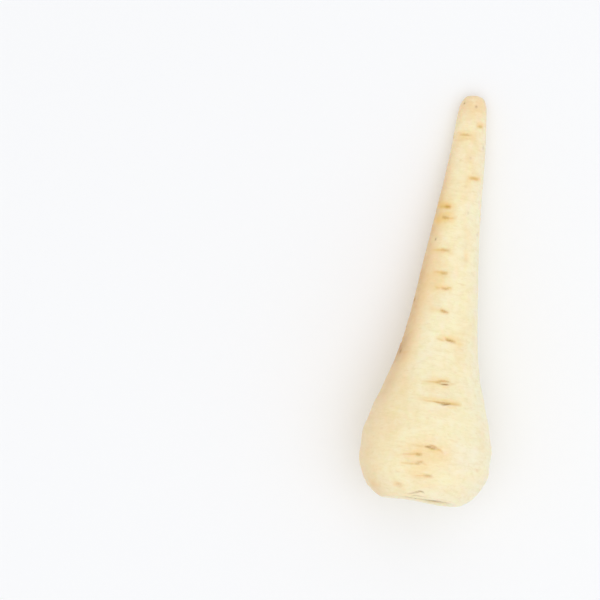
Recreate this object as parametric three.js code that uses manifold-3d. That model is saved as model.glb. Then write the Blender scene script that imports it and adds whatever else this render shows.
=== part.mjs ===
// A parsnip: one tapering taproot that grew as one piece, trimmed at the crown and lying on its side.
// Millimetres. +Y runs from the crown to the tip, +Z is up, and the root rests on z = 0.
import * as THREE from 'three';
import Module from 'manifold-3d';
import { mergeVertices } from 'three/addons/utils/BufferGeometryUtils.js';

// Outline: [distance from the rim of the crown, radius], from the middle of the crown to the tip.
const OUTLINE = [
  [2.3, 0], [2.6, 4.0], [3.9, 7.0], [4.4, 9.6], [2.8, 12.0], [0.6, 13.9],
  [0.0, 15.8], [0.7, 18.3], [2.6, 21.0], [5.6, 23.9], [9.6, 26.4], [14.6, 28.0],
  [21, 28.5], [28, 28.0], [36, 26.1], [46, 22.9], [57, 19.5], [70, 16.6],
  [84, 14.6], [100, 12.8], [118, 10.9], [136, 9.2], [151, 8.0], [164, 7.1],
  [173.6, 6.3], [178.4, 5.5], [181.3, 3.6], [182.3, 0],
];

// Radius of the rim, where the hollow of the crown turns over into the skin.
const RIM_RADIUS = 15.8;

// Grid: columns round the root, and the step between rows, finer on the round shoulder than on the taper.
const COLUMNS = 48;
const SHOULDER_END = 46;
const SHOULDER_STEP = 2.4;
const TAPER_STEP = 3.8;

// Sideways bends of the midline: [amount, middle along the root, width].
const BENDS = [[2.4, 158, 42], [1.0, 88, 30], [0.8, 186, 9]];

// The lower left of the rim is set back a little: [depth, radius, width] and [angle, width] in radians.
const SET_BACK = [1.6, 18, 6];
const SET_BACK_TURN = [4.5, 0.75];
const SET_BACK_END = 10;

// How the root lies: its midline slopes down to the tip, and the underside is pressed flat a little.
const LEAN = THREE.MathUtils.degToRad(8.3);
const FLAT_DEPTH = 0.9;
const SHOULDER_FLAT = [18, 40];
const TIP_FLAT = [160, 182];

// Side-root scars on top: [distance from the crown, angle round the root, length, height, tilt].
// The angle is 0 on the +X flank and 90 on top. Tilt is how far the scar turns from straight across.
const TOP_SCARS = [
  [167.7, 57, 3.4, 1.3, -4], [162.9, 107, 5.2, 1.4, -1], [143.8, 60, 4.6, 1.4, -2],
  [129.6, 128, 6.0, 1.5, 0], [124.6, 124, 6.0, 1.5, 0], [109.7, 115, 6.6, 1.4, 0],
  [99.5, 109, 6.4, 1.5, 1], [92.6, 101, 7.0, 1.6, -1], [82.3, 98, 7.4, 1.8, 7],
  [69.7, 81, 9.0, 1.9, 5], [50.3, 86, 10.6, 2.3, -1], [41.7, 82, 16.0, 2.6, -1],
  [21.5, 89, 14.0, 2.4, 8], [17.7, 105, 9.6, 1.9, -6], [13.9, 103, 10.8, 2.0, -3],
  [9.2, 91, 8.2, 1.7, -4],
];

// The three other ranks of side-root scars: [angle round the root, number of scars].
const UNDER_RANK = 272;
const OTHER_RANKS = [[190, 11], [UNDER_RANK, 10], [352, 11]];

// Short creases round the rim of the crown: [distance from the crown, angle, length, height, tilt].
const CROWN_CREASES = [
  [2.6, 97, 6.6, 1.0, -8], [1.5, 97, 6.0, 0.9, -6], [4.2, 28, 9.0, 1.2, 6], [6.4, 150, 7.6, 1.1, -10],
  [3.6, 188, 9.4, 1.2, 4], [5.8, 232, 8.0, 1.1, 8], [3.4, 286, 9.0, 1.2, -6], [6.0, 328, 7.0, 1.0, -8],
];

// Leaf bases on the floor of the crown: number round it, height, and the radius and width of their ring.
const LEAF_BASES = 7;
const LEAF_BASE_HEIGHT = 0.55;
const LEAF_BASE_RING = [8.2, 3.2];

// Depth of a scar or crease as a share of its height, and the number of steps along it.
const SCAR_DEPTH = 0.42;
const SCAR_STEPS = 6;

const GOLDEN = 0.6180339887;

// Even, repeatable draw between 0 and 1.
function draw(index) {
  return (index * GOLDEN) % 1;
}

// Bell-shaped bump of height 1 about a middle.
function bump(value, middle, width) {
  return Math.exp(-(((value - middle) / width) ** 2));
}

// Smooth curve that passes through every station of the outline.
function outlineBetween(station, share) {
  const before = OUTLINE[Math.max(station - 1, 0)];
  const start = OUTLINE[station];
  const end = OUTLINE[station + 1];
  const after = OUTLINE[Math.min(station + 2, OUTLINE.length - 1)];
  return [0, 1].map((axis) => {
    const leave = (end[axis] - before[axis]) / 2;
    const arrive = (after[axis] - start[axis]) / 2;
    const square = share * share;
    const cube = square * share;
    return (2 * cube - 3 * square + 1) * start[axis] + (cube - 2 * square + share) * leave
      + (3 * square - 2 * cube) * end[axis] + (cube - square) * arrive;
  });
}

// Rows of the grid, each a distance from the crown and a radius.
function outlineRows() {
  const rows = [];
  for (let station = 0; station < OUTLINE.length - 1; station += 1) {
    const [startAlong, startRadius] = OUTLINE[station];
    const [endAlong, endRadius] = OUTLINE[station + 1];
    const span = Math.hypot(endAlong - startAlong, endRadius - startRadius);
    const steps = Math.max(1, Math.round(span / (startAlong < SHOULDER_END ? SHOULDER_STEP : TAPER_STEP)));
    for (let step = 0; step < steps; step += 1) {
      rows.push(outlineBetween(station, step / steps));
    }
  }
  rows.push(OUTLINE[OUTLINE.length - 1]);
  return rows;
}

// Radius of the skin at a distance from the crown, read from the rows beyond the rim.
function skinRadius(rows, along) {
  const rim = rows.findIndex(([, radius]) => radius >= RIM_RADIUS);
  let index = rim;
  while (index < rows.length - 2 && rows[index + 1][0] < along) {
    index += 1;
  }
  const [startAlong, startRadius] = rows[index];
  const [endAlong, endRadius] = rows[index + 1];
  const share = (along - startAlong) / (endAlong - startAlong);
  return startRadius + share * (endRadius - startRadius);
}

// Broad unevenness of the section, as a share of the radius: slow lobes, ring swellings and two dents.
function unevenness(along, angle) {
  const lobes = 0.008 * Math.cos(2 * angle - 0.7)
    + 0.010 * Math.cos(3 * angle + along / 38)
    + 0.005 * Math.cos(5 * angle - along / 21);
  const rings = 0.006 * Math.sin(along / 1.9 + 1.3 * Math.sin(angle + along / 40))
    * (0.4 + bump(along, 10, 40));
  const dents = 0.035 * bump(along, 78, 12) * bump(angle, 3.9, 0.45)
    + 0.040 * bump(along, 122, 14) * bump(angle, 5.4, 0.5);
  return lobes + rings - dents;
}

// How far the trimmed leaf bases lift the floor of the crown: lumps whose rows turn in a spiral.
function leafBases(radius, angle) {
  return LEAF_BASE_HEIGHT * Math.cos(LEAF_BASES * angle + 1.3 * radius) * bump(radius, ...LEAF_BASE_RING);
}

// How far the lower left of the rim is set back, fading to nothing away from the rim and down the root.
function setBack(along, radius, angle) {
  const [depth, middle, width] = SET_BACK;
  return depth * bump(radius, middle, width) * bump(angle, ...SET_BACK_TURN) * bump(along, 0, SET_BACK_END);
}

// Point of the lying root for a distance from the crown, a radius and an angle round the midline.
function rootPoint(along, radius, angle) {
  const wide = radius * (1 + unevenness(along, angle));
  const reach = along + setBack(along, radius, angle);
  const sideways = BENDS.reduce((sum, [amount, middle, width]) => sum + amount * bump(along, middle, width), 0);
  const x = sideways + wide * Math.cos(angle);
  const height = wide * Math.sin(angle);
  const y = reach * Math.cos(LEAN) + height * Math.sin(LEAN);
  const z = height * Math.cos(LEAN) - reach * Math.sin(LEAN);
  return new THREE.Vector3(x, y, z);
}

// Closed grid of points: one pole in the crown, rings along the outline, one pole at the tip.
function rootGeometry(rows) {
  const points = [];
  const faces = [];
  const rings = rows.slice(1, -1);
  const rim = rings.findIndex(([, radius]) => radius >= RIM_RADIUS);
  points.push(rootPoint(rows[0][0], 0, 0));
  rings.forEach(([along, radius], ring) => {
    for (let column = 0; column < COLUMNS; column += 1) {
      const angle = (column / COLUMNS) * 2 * Math.PI;
      const lift = ring < rim ? leafBases(radius, angle) : 0;
      points.push(rootPoint(along - lift, radius, angle));
    }
  });
  points.push(rootPoint(rows[rows.length - 1][0], 0, 0));
  const tip = points.length - 1;
  const place = (ring, column) => 1 + ring * COLUMNS + (column % COLUMNS);
  for (let column = 0; column < COLUMNS; column += 1) {
    faces.push(0, place(0, column), place(0, column + 1));
    faces.push(tip, place(rings.length - 1, column + 1), place(rings.length - 1, column));
    for (let ring = 0; ring < rings.length - 1; ring += 1) {
      const corner = place(ring, column);
      const opposite = place(ring + 1, column + 1);
      faces.push(corner, place(ring + 1, column), opposite);
      faces.push(corner, opposite, place(ring, column + 1));
    }
  }
  return closedGeometry(points, faces);
}

function closedGeometry(points, faces) {
  const geometry = new THREE.BufferGeometry();
  const values = points.flatMap((point) => [point.x, point.y, point.z]);
  geometry.setAttribute('position', new THREE.Float32BufferAttribute(values, 3));
  geometry.setIndex(faces);
  return geometry;
}

// Scar cutter: a wedge bent round the root, deepest in the middle and closing to a point at each end.
function scarGeometry(rows, [along, degrees, length, height, tilt]) {
  const radius = skinRadius(rows, along);
  const middle = THREE.MathUtils.degToRad(degrees);
  const slope = Math.tan(THREE.MathUtils.degToRad(tilt));
  const points = [];
  const faces = [];
  for (let step = 0; step <= SCAR_STEPS; step += 1) {
    const share = step / SCAR_STEPS - 0.5;
    const fullness = Math.sqrt(Math.cos(share * Math.PI)) || 0;
    const angle = middle - (share * length) / radius;
    const line = along - share * length * slope;
    const wall = (line_, depth) => rootPoint(line_, skinRadius(rows, line_) - depth, angle);
    if (step === 0 || step === SCAR_STEPS) {
      points.push(wall(line, -0.3));
    } else {
      const half = (fullness * height) / 2;
      points.push(wall(line - half * 1.4, -0.5));
      points.push(wall(line + half * 1.4, -0.5));
      points.push(wall(line, fullness * height * SCAR_DEPTH));
    }
  }
  const last = points.length - 1;
  const corner = (ring, side) => 1 + (ring - 1) * 3 + (side % 3);
  for (let side = 0; side < 3; side += 1) {
    faces.push(0, corner(1, side), corner(1, side + 1));
    faces.push(last, corner(SCAR_STEPS - 1, side + 1), corner(SCAR_STEPS - 1, side));
    for (let ring = 1; ring < SCAR_STEPS - 1; ring += 1) {
      faces.push(corner(ring, side), corner(ring + 1, side), corner(ring + 1, side + 1));
      faces.push(corner(ring, side), corner(ring + 1, side + 1), corner(ring, side + 1));
    }
  }
  return closedGeometry(points, faces);
}

// Scars of the other ranks: crowded near the crown, smaller to the tip, none on the flat underneath.
function otherScars(rows) {
  const scars = [];
  OTHER_RANKS.forEach(([degrees, count], rank) => {
    for (let index = 0; index < count; index += 1) {
      const seed = 40 * rank + 3 * index;
      const share = (index + 0.2 + 0.6 * draw(seed)) / count;
      const along = 10 + 160 * share ** 1.1;
      const size = 0.4 + 0.6 * (skinRadius(rows, along) / 28);
      const onFlat = [SHOULDER_FLAT, TIP_FLAT].some(([start, end]) => along > start && along < end);
      if (!(onFlat && degrees === UNDER_RANK)) {
        const turn = degrees + 18 * (draw(seed + 1) - 0.5);
        const length = (6 + 9 * draw(seed + 2)) * size;
        scars.push([along, turn, length, 1.3 + 1.2 * size * draw(seed + 4), 16 * (draw(seed + 5) - 0.5)]);
      }
    }
  });
  return scars;
}

const wasm = await Module();
wasm.setup();

function solid(geometry) {
  const mesh = new wasm.Mesh({
    numProp: 3,
    vertProperties: new Float32Array(geometry.attributes.position.array),
    triVerts: new Uint32Array(geometry.index.array),
  });
  return new wasm.Manifold(mesh);
}

// Lowers the root on to z = 0 and presses what lies lower into a flat.
function settle(geometry) {
  geometry.computeBoundingBox();
  const { min, max } = geometry.boundingBox;
  const place = geometry.attributes.position;
  for (let index = 0; index < place.count; index += 1) {
    const height = place.getZ(index) - min.z - FLAT_DEPTH;
    place.setXYZ(
      index,
      place.getX(index) - (min.x + max.x) / 2,
      place.getY(index) - (min.y + max.y) / 2,
      Math.max(height, 0),
    );
  }
  return geometry;
}

const rows = outlineRows();
let carved = solid(rootGeometry(rows));
[...TOP_SCARS, ...CROWN_CREASES, ...otherScars(rows)].forEach((scar) => {
  carved = carved.subtract(solid(scarGeometry(rows, scar)));
});
const cut = carved.getMesh();
const carvedGeometry = new THREE.BufferGeometry();
carvedGeometry.setAttribute('position', new THREE.BufferAttribute(new Float32Array(cut.vertProperties), 3));
carvedGeometry.setIndex(new THREE.BufferAttribute(new Uint32Array(cut.triVerts), 1));
const rootSkin = settle(mergeVertices(carvedGeometry, 1e-3));
rootSkin.computeVertexNormals();

const skin = new THREE.MeshStandardMaterial({ color: 0xf3e3ba, roughness: 0.55, metalness: 0 });
const root = new THREE.Mesh(rootSkin, skin);
root.name = 'parsnip_root';

const parsnip = new THREE.Group();
parsnip.name = 'parsnip';
parsnip.add(root);

export default parsnip;
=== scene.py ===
# %% [markdown]
# # A parsnip lying on a pale table
#
# A parsnip is a taproot that grew as one piece: a round shoulder, a sunken crown where the leaves stood, and
# a long taper to a blunt tip. The solid model of it is already fixed in place. This notebook dresses that
# solid with a finer skin of the same outline, a dried leaf scar in the crown, and two materials. Shapes are
# worked out in millimetres and placed in metres, with +Y from the crown to the tip and +Z up.

import math

import bpy
import numpy as np
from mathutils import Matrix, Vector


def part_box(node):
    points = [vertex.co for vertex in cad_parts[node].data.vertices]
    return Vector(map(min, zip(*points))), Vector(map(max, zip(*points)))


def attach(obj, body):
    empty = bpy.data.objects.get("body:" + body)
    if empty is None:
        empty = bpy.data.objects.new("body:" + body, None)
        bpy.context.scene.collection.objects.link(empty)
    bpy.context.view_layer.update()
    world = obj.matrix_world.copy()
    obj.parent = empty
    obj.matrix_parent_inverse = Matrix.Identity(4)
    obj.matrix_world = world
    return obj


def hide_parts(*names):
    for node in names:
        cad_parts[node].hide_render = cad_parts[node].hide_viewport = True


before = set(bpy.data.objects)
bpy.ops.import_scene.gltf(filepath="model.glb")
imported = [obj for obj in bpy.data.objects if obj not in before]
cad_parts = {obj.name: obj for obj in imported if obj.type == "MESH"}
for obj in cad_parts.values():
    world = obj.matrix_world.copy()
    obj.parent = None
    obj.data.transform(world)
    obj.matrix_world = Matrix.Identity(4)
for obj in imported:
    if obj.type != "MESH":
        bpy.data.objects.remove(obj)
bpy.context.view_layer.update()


def rounded(corner):
    """A corner of a box, in metres, to a tenth of a millimetre."""
    return [round(value, 4) for value in corner]


# %% [markdown]
# ## The outline
#
# The outline is a short list of stations, each a distance along the root and a radius. It could be drawn as
# a Bezier curve by hand, but a list of real sizes is easier to check with a ruler. A Catmull-Rom curve runs
# through every station, so the numbers stay true and the surface between them is smooth. The first stations
# are the hollow in the crown, up to its rim.

# %% Stations of the outline: distance and radius in millimetres
OUTLINE = np.array([
    [2.3, 0], [2.6, 4.0], [3.9, 7.0], [4.4, 9.6], [2.8, 12.0], [0.6, 13.9],
    [0.0, 15.8], [0.7, 18.3], [2.6, 21.0], [5.6, 23.9], [9.6, 26.4], [14.6, 28.0],
    [21, 28.5], [28, 28.0], [36, 26.1], [46, 22.9], [57, 19.5], [70, 16.6],
    [84, 14.6], [100, 12.8], [118, 10.9], [136, 9.2], [151, 8.0], [164, 7.1],
    [173.6, 6.3], [178.4, 5.5], [181.3, 3.6], [182.3, 0],
])
RIM_RADIUS = 15.8
OUTLINE_SAMPLES = 8000


def outline_point(station):
    """Point of the outline for a station number with a fraction. Each stretch is a cubic that passes through
    its two stations, and leaves each in the direction of the line between that station's two neighbours."""
    start = np.clip(np.floor(station).astype(int), 0, len(OUTLINE) - 2)
    share = (station - start)[:, None]
    here, there = OUTLINE[start], OUTLINE[start + 1]
    leave = (there - OUTLINE[np.maximum(start - 1, 0)]) / 2
    arrive = (OUTLINE[np.minimum(start + 2, len(OUTLINE) - 1)] - here) / 2
    square, cube = share ** 2, share ** 3
    return ((2 * cube - 3 * square + 1) * here + (cube - 2 * square + share) * leave
            + (3 * square - 2 * cube) * there + (cube - square) * arrive)


fine_outline = outline_point(np.linspace(0, len(OUTLINE) - 1, OUTLINE_SAMPLES))
travel = np.concatenate([[0], np.cumsum(np.linalg.norm(np.diff(fine_outline, axis=0), axis=1))])
rim_travel = travel[fine_outline[:, 1].searchsorted(RIM_RADIUS)]
print(f"outline is {travel[-1]:.1f} mm long, and its rim is at {rim_travel:.1f} mm")

# %% [markdown]
# ## Rows and columns
#
# The skin is a grid of rows across the outline and columns round it. Even rows would be simpler, but most
# would lie where little happens. A root's fine marks run round it, so the rows are packed closer than the
# columns, and closest where the biggest scars lie. Only a few lie under the leaf scar, where none shows.

# %% Places of the rows
ROWS, HIDDEN_ROWS = 440, 7
# The seen rows start this many millimetres inside the rim
SEEN_INSIDE_RIM = 7.0
# Zones with closer rows: distance over the skin from the rim, and half the width of the zone
FINE_ZONES, FINENESS = [[0, 3.5], [20, 8.5], [50, 8.5]], 1.6
SPACING_SAMPLES = 4000
hidden_end = rim_travel - SEEN_INSIDE_RIM
steps = np.linspace(hidden_end, travel[-1], SPACING_SAMPLES)
closeness = 1 + FINENESS * sum(
    np.exp(-(((steps - rim_travel - middle) / half) ** 4)) for middle, half in FINE_ZONES)
row_number = np.concatenate([[0], np.cumsum((closeness[1:] + closeness[:-1]) / 2)])
row_travel = np.concatenate([
    np.linspace(0, hidden_end, HIDDEN_ROWS + 1)[1:-1],
    np.interp(np.linspace(0, row_number[-1], ROWS), row_number, steps)[:-1]])
row_gaps = np.diff(row_travel)[HIDDEN_ROWS:]
print(f"{len(row_travel)} rows, {row_gaps.min():.2f} to {row_gaps.max():.2f} mm apart")

# %% Grid of distances, radii and angles
COLUMNS = 214
row_along = np.interp(row_travel, travel, fine_outline[:, 0])
row_radius = np.interp(row_travel, travel, fine_outline[:, 1])
turns = np.linspace(0, 2 * np.pi, COLUMNS, endpoint=False)
along, angle = np.meshgrid(row_along, turns, indexing="ij")
radius, outward_travel = (
    np.meshgrid(row, turns, indexing="ij")[0] for row in (row_radius, row_travel - rim_travel))
print(f"{along.size} points, in {COLUMNS} columns")

# %% [markdown]
# ## Unevenness
#
# No root is a true turned shape. Slow waves round the section make it a little lobed, and a few broad dents
# break the taper. A Displace modifier could do this too, but these are the formulas of the solid model, so
# the skin lies on it.


# %% Bumps and the uneven section
def bump(value, middle, width):
    """Bell curve of height 1: e to the power of minus the squared distance from the middle, in widths."""
    return np.exp(-(((value - middle) / width) ** 2))


def unevenness(along, angle):
    """Share of the radius added to it: three waves of 2, 3 and 5 lobes, ring swellings that fade from the
    shoulder to the tip, less two broad dents."""
    lobes = (0.008 * np.cos(2 * angle - 0.7) + 0.010 * np.cos(3 * angle + along / 38)
             + 0.005 * np.cos(5 * angle - along / 21))
    rings = 0.006 * np.sin(along / 1.9 + 1.3 * np.sin(angle + along / 40)) * (0.4 + bump(along, 10, 40))
    dents = (0.035 * bump(along, 78, 12) * bump(angle, 3.9, 0.45)
             + 0.040 * bump(along, 122, 14) * bump(angle, 5.4, 0.5))
    return lobes + rings - dents


def set_back(along, radius, angle):
    """How far the lower left of the rim is set back, in millimetres: the product of bell curves of the
    radius, the angle and the distance from the crown."""
    return 1.6 * bump(radius, 18, 6) * bump(angle, 4.5, 0.75) * bump(along, 0, 10)


uneven = unevenness(along, angle)
print(f"radius changed by {uneven.min():+.1%} to {uneven.max():+.1%}")

# %% The skin beyond the rim
RIM_POINT = fine_outline[:, 1].searchsorted(RIM_RADIUS)


def skin_radius(along):
    """Radius of the even outline beyond the rim, at a distance from the crown."""
    return np.interp(along, fine_outline[RIM_POINT:, 0], fine_outline[RIM_POINT:, 1])


def skin_travel(along):
    """Distance over the skin from the rim to a distance from the crown."""
    return np.interp(along, fine_outline[RIM_POINT:, 0], travel[RIM_POINT:] - rim_travel)


print(f"radius {skin_radius(100):.1f} mm at 100 mm from the crown")

# %% [markdown]
# ## Noise that closes round the root
#
# Growth marks are random but smooth. Value noise does this: random numbers on a lattice, blended in between.
# Blender's own noise doesn't follow the root. This lattice wraps round it, so no seam shows, and its cells
# are long round the root and short along it, because that is how parsnip skin creases.


# %% Ring noise
# The lattice starts this far before the crown, and is this long, in millimetres
LATTICE_LEAD, LATTICE_LENGTH = 30, 260


def ring_noise(along, angle, step, around, seed):
    """Noise from -1 to 1: random values on a lattice with one row every step millimetres and a number of
    cells round the root, blended with the smooth curve 3t squared less 2t cubed."""
    lattice = np.random.default_rng(seed).uniform(-1, 1, (int(LATTICE_LENGTH / step) + 4, around))
    row, column = (along + LATTICE_LEAD) / step, (angle / (2 * np.pi) * around) % around
    low_row, low_column = np.floor(row).astype(int), np.floor(column).astype(int)
    down, over = row - low_row, column - low_column
    down, over = down * down * (3 - 2 * down), over * over * (3 - 2 * over)
    left, right = low_column % around, (low_column + 1) % around
    near = lattice[low_row, left] * (1 - over) + lattice[low_row, right] * over
    far = lattice[low_row + 1, left] * (1 - over) + lattice[low_row + 1, right] * over
    return near * (1 - down) + far * down


drift = 2.2 * ring_noise(along, angle, 16, 5, 11)
creases = (0.5 * ring_noise(along + drift, angle, 2.4, 20, 21)
           + 0.5 * ring_noise(along + drift, angle, 1.3, 44, 22))
swells = 0.6 * ring_noise(along, angle, 21, 6, 31) + 0.4 * ring_noise(along, angle, 9, 11, 32)
print(f"crease noise from {creases.min():.2f} to {creases.max():.2f}")

# %% [markdown]
# ## Side-root scars
#
# Thin side roots grew from the taproot in four ranks. Where they came off, the skin healed into short
# crosswise scars: a shallow trough between two low lips. They could be sculpted one by one, but one formula
# and a list of places make them all. The places on top are real distances, the same as in the solid model,
# and the other ranks follow a rule.

# %% Where the scars are
# Distance from the crown, angle, length, height and tilt. The angle is 0 on the +X flank and 90 on top.
TOP_SCARS = [
    [167.7, 57, 3.4, 1.3, -4], [162.9, 107, 5.2, 1.4, -1], [143.8, 60, 4.6, 1.4, -2],
    [129.6, 128, 6.0, 1.5, 0], [124.6, 124, 6.0, 1.5, 0], [109.7, 115, 6.6, 1.4, 0],
    [99.5, 109, 6.4, 1.5, 1], [92.6, 101, 7.0, 1.6, -1], [82.3, 98, 7.4, 1.8, 7],
    [69.7, 81, 9.0, 1.9, 5], [50.3, 86, 10.6, 2.3, -1], [41.7, 82, 16.0, 2.6, -1],
    [21.5, 89, 14.0, 2.4, 8], [17.7, 105, 9.6, 1.9, -6], [13.9, 103, 10.8, 2.0, -3],
    [9.2, 91, 8.2, 1.7, -4],
]
# Short arcs round the crown, in the same terms
CROWN_CREASES = [
    [2.6, 97, 6.6, 1.0, -8], [1.5, 97, 6.0, 0.9, -6], [4.2, 28, 9.0, 1.2, 6], [6.4, 150, 7.6, 1.1, -10],
    [3.6, 188, 9.4, 1.2, 4], [5.8, 232, 8.0, 1.1, 8], [3.4, 286, 9.0, 1.2, -6], [6.0, 328, 7.0, 1.0, -8],
]
print(len(TOP_SCARS), "scars on top and", len(CROWN_CREASES), "creases at the crown")

# %% Scars of the other ranks
# Each rank has an angle and a number of scars. The flats are the stretches that the root rests on.
UNDER_RANK = 272
OTHER_RANKS = [[190, 11], [UNDER_RANK, 10], [352, 11]]
FLATS = [[18, 40], [160, 182]]
FIRST_SCAR, SCARRED_LENGTH, CROWDING = 10, 160, 1.1
ANGLE_SPREAD, TILT_SPREAD = 18, 16
SHOULDER_RADIUS = 28
GOLDEN = 0.6180339887


def draw(index):
    """Even, repeatable draw between 0 and 1: the fraction left of a number of golden steps."""
    return (index * GOLDEN) % 1


def other_scars():
    """Scars of the three other ranks. Their distance grows with a power of their number, so they are crowded
    near the crown, and their size goes with the radius. None is on a flat."""
    scars = []
    for rank, (degrees, count) in enumerate(OTHER_RANKS):
        for index in range(count):
            seed = 40 * rank + 3 * index
            share = (index + 0.2 + 0.6 * draw(seed)) / count
            place = FIRST_SCAR + SCARRED_LENGTH * share ** CROWDING
            size = 0.4 + 0.6 * float(skin_radius(place)) / SHOULDER_RADIUS
            length = (6 + 9 * draw(seed + 2)) * size
            height = 1.3 + 1.2 * size * draw(seed + 4)
            on_flat = degrees == UNDER_RANK and any(start < place < end for start, end in FLATS)
            if not on_flat:
                scars.append([place, degrees + ANGLE_SPREAD * (draw(seed + 1) - 0.5), length, height,
                              TILT_SPREAD * (draw(seed + 5) - 0.5)])
    return scars


hidden_scars = other_scars()
print(len(hidden_scars), "scars in the other ranks")


# %% The relief of one scar
def smooth_step(value, low, high):
    """0 below low, 1 above high, and the smooth curve 3t squared less 2t cubed between."""
    share = np.clip((value - low) / (high - low), 0, 1)
    return share * share * (3 - 2 * share)


def offsets(place, degrees, tilt):
    """Distance round the root from a place on it, and distance over the skin from a line through that place,
    which tilts down towards the +X side."""
    turn = (np.radians(degrees) - angle + np.pi) % (2 * np.pi) - np.pi
    across = turn * skin_radius(place)
    return across, outward_travel - skin_travel(place) + across * np.tan(np.radians(tilt))


def lens(across, length):
    """1 in the middle of a length and 0 past its ends: one less the square of the share of half of it."""
    return np.clip(1 - (2 * across / length) ** 2, 0, 1)


# Marks end 1 mm inside the rim, and their lines wander a little
on_skin = outward_travel > -1.0
wobble = 0.16 * ring_noise(along, angle, 1.3, 70, 81) + 0.10 * ring_noise(along, angle, 0.7, 110, 82)


def scar_relief(place, degrees, length, height, tilt):
    """Relief in millimetres of one scar: a bell-shaped trough across its line, and a bell-shaped lip on each
    side, all fading to both ends."""
    across, upright = offsets(place, degrees, tilt)
    upright = upright + wobble
    middle, reach = lens(across, 0.45 * length) * on_skin, lens(across, length) * on_skin
    trough = -height * (0.13 * middle + 0.05 * reach) * bump(upright, 0, 0.30 * height)
    lips = 0.10 * height * (0.35 * reach + 0.65 * middle) * (
        bump(upright, 0.60 * height, 0.32 * height) + bump(upright, -0.64 * height, 0.36 * height))
    return trough + lips


relief = sum(scar_relief(*scar) for scar in TOP_SCARS + hidden_scars)
print(f"scar relief from {relief.min():.2f} to {relief.max():.2f} mm")

# %% [markdown]
# ## The stains of the scars
#
# A healed scar is a soft amber stain round a golden-brown core, with a thin tan tail that runs out of one
# end. The big ones stayed open and have a dark crack along one edge. This could be painted on an image, but
# curved strokes from a table stay sharp at any size, two to six for a scar. They only colour the skin, and
# the cracks are also pressed in.

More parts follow.
